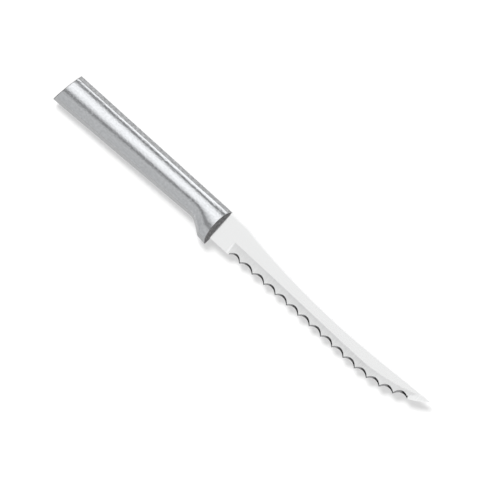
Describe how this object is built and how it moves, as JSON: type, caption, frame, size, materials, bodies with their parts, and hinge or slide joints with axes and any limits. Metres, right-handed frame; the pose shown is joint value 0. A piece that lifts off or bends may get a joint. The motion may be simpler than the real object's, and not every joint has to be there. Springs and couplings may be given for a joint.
{
  "type": "tomato knife",
  "caption": "Serrated tomato knife: an upswept scallop-edged steel blade whose tang is cast into a solid, tapered aluminium handle with a small finger guard.",
  "frame": {"origin": "under the middle of the knife's outer box, on the plane that the handle lies on", "axes": "+X from the butt to the point, +Y from the edge to the spine, +Z out of the side of the blade that the scallops are ground from"},
  "size_m": [0.226, 0.019, 0.0112],
  "materials": {
    "handle": "cast, then brushed lengthwise to a satin sheen; the ends left duller",
    "blade": "satin flats, a finer ground band above the edge, scallops ground from one side"
  },
  "bodies": {
    "root": {"handle": "handle", "blade": "blade"}
  },
  "joints": []
}
